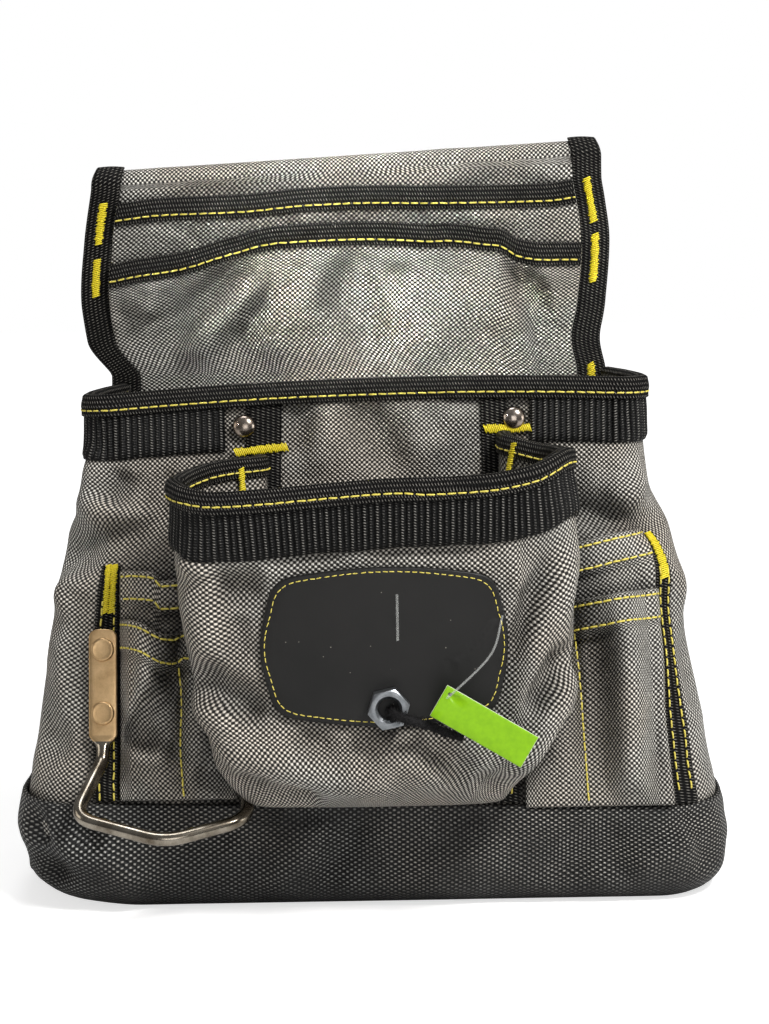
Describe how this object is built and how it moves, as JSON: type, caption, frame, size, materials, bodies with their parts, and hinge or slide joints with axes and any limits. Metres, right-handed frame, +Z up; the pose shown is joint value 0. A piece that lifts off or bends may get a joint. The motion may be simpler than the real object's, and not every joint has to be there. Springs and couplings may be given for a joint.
{
  "type": "magnetic tool pouch",
  "caption": "Open-topped cloth tool pouch with a bellied front pocket, magnetic patch, side tool pockets, sleeved back panel, belt tunnel and wire hammer loop.",
  "frame": {"origin": "centre of the flat underside of the base", "axes": "+Z up, -Y out of the front with the magnetic patch, +Y towards the wearer, +X to the right as seen from the front"},
  "size_m": [0.301, 0.1535, 0.3073],
  "materials": {
    "grey_cloth": "grey ballistic nylon, basket weave, slight sheen",
    "black_cloth": "black ballistic nylon, basket weave",
    "black_trim": "black ribbed webbing and binding tape",
    "patch": "matte black coated vinyl",
    "steel": "nickel-plated steel, lightly worn",
    "zinc": "zinc-plated steel",
    "magnet": "nickel-plated magnet disc",
    "foam": "dark foam rubber",
    "fuzz_cord": "fuzzy black cord",
    "tag": "lime-green plastic card",
    "clear_nylon": "clear nylon"
  },
  "bodies": {
    "pouch": {"main_pocket_wall": "grey_cloth", "main_rim_binding": "black_trim", "rim_webbing_left": "black_trim", "rim_webbing_right": "black_trim", "inner_tape_left": "black_trim", "inner_tape_right": "black_trim", "outer_tape_left": "black_trim", "outer_tape_right": "black_trim", "base_panel": "black_cloth", "back_panel": "grey_cloth", "belt_tunnel": "grey_cloth", "panel_binding_left": "black_trim", "panel_binding_right": "black_trim", "upper_sleeve": "grey_cloth", "upper_sleeve_binding": "black_trim", "lower_sleeve": "grey_cloth", "lower_sleeve_binding": "black_trim", "left_rear_tool_pocket": "grey_cloth", "left_front_tool_pocket": "grey_cloth", "right_rear_tool_pocket": "grey_cloth", "right_front_tool_pocket": "grey_cloth", "front_pocket_wall": "grey_cloth", "front_pocket_webbing": "black_trim", "front_pocket_binding": "black_trim", "magnet_patch": "patch", "magnet_carrier": "foam", "magnet_liner": "grey_cloth", "magnet_1": "magnet", "magnet_2": "magnet", "magnet_3": "magnet", "magnet_4": "magnet", "magnet_5": "magnet", "rim_rivet_left": "steel", "rim_rivet_right": "steel", "hammer_loop": "steel", "hammer_loop_rivet_1": "steel", "hammer_loop_rivet_2": "steel", "hammer_loop_rivet_3": "steel", "hammer_loop_rivet_4": "steel", "tag_tack": "clear_nylon"},
    "nut": {"demo_nut": "zinc", "nut_cord": "fuzz_cord"},
    "tag": {"hang_tag": "tag", "tag_filament": "clear_nylon"}
  },
  "joints": [
    {"name": "nut_pull", "type": "slide", "parent": "pouch", "child": "nut", "axis": [0.0191, -0.9926, 0.1199], "range_m": [0, 0.02], "stiffness_N_per_m": 20, "springref_m": -0.05, "deforming": ["nut_cord"]},
    {"name": "tag_swing", "type": "hinge", "parent": "pouch", "child": "tag", "pos_m": [0.049, -0.0822, 0.127], "axis": [0, -1, 0], "range_deg": [-8, 40]}
  ]
}
